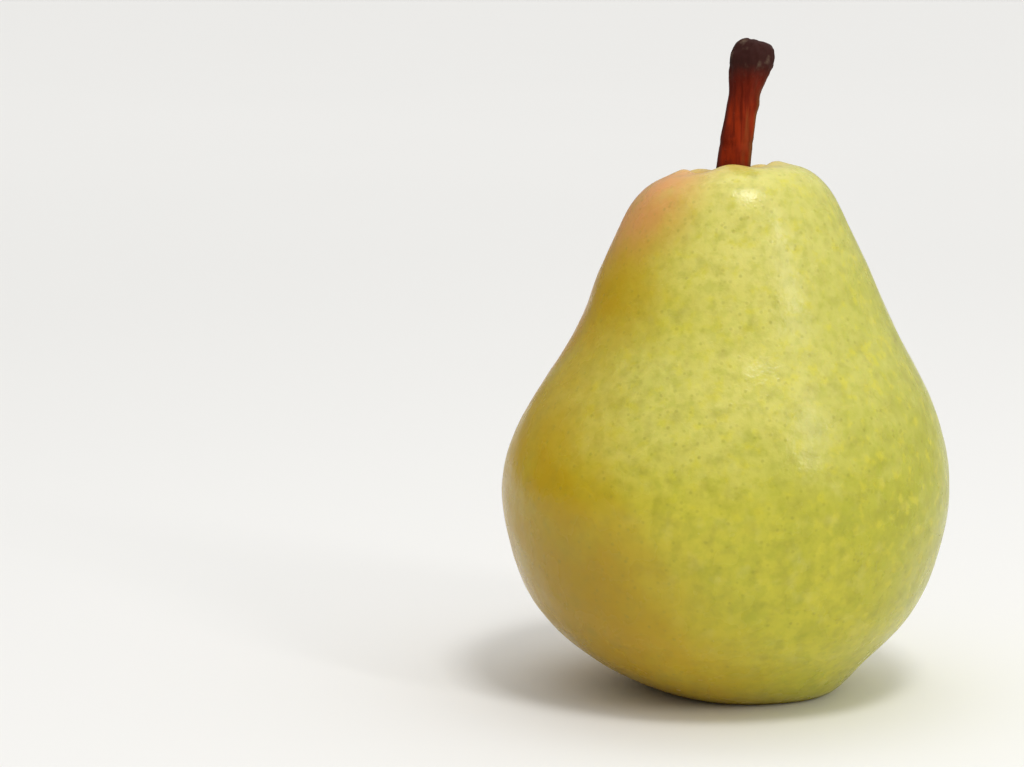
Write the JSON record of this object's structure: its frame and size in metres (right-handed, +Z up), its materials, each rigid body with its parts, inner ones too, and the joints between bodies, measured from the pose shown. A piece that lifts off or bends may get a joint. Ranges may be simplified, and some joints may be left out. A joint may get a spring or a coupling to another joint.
{
  "type": "pear",
  "caption": "Whole fresh pear standing on its calyx end: a lopsided yellow-green fruit with a blushed shoulder, a woody stem leaning out of the crown and a dried calyx in the basin underneath.",
  "frame": {"origin": "on the resting surface, below the middle of the belly", "axes": "+Z up along the fruit, from the calyx to the stem; +X towards the side of the higher shoulder; -Y towards the viewer of the picture"},
  "size_m": [0.0701, 0.0683, 0.1016],
  "materials": {
    "pear_skin": "satin waxy skin, finely speckled",
    "stem_wood": "matte bark, ridged lengthwise",
    "dried_calyx": "matte, dry and papery"
  },
  "bodies": {
    "root": {"fruit": "pear_skin", "stem": "stem_wood", "calyx": "dried_calyx"}
  },
  "joints": []
}
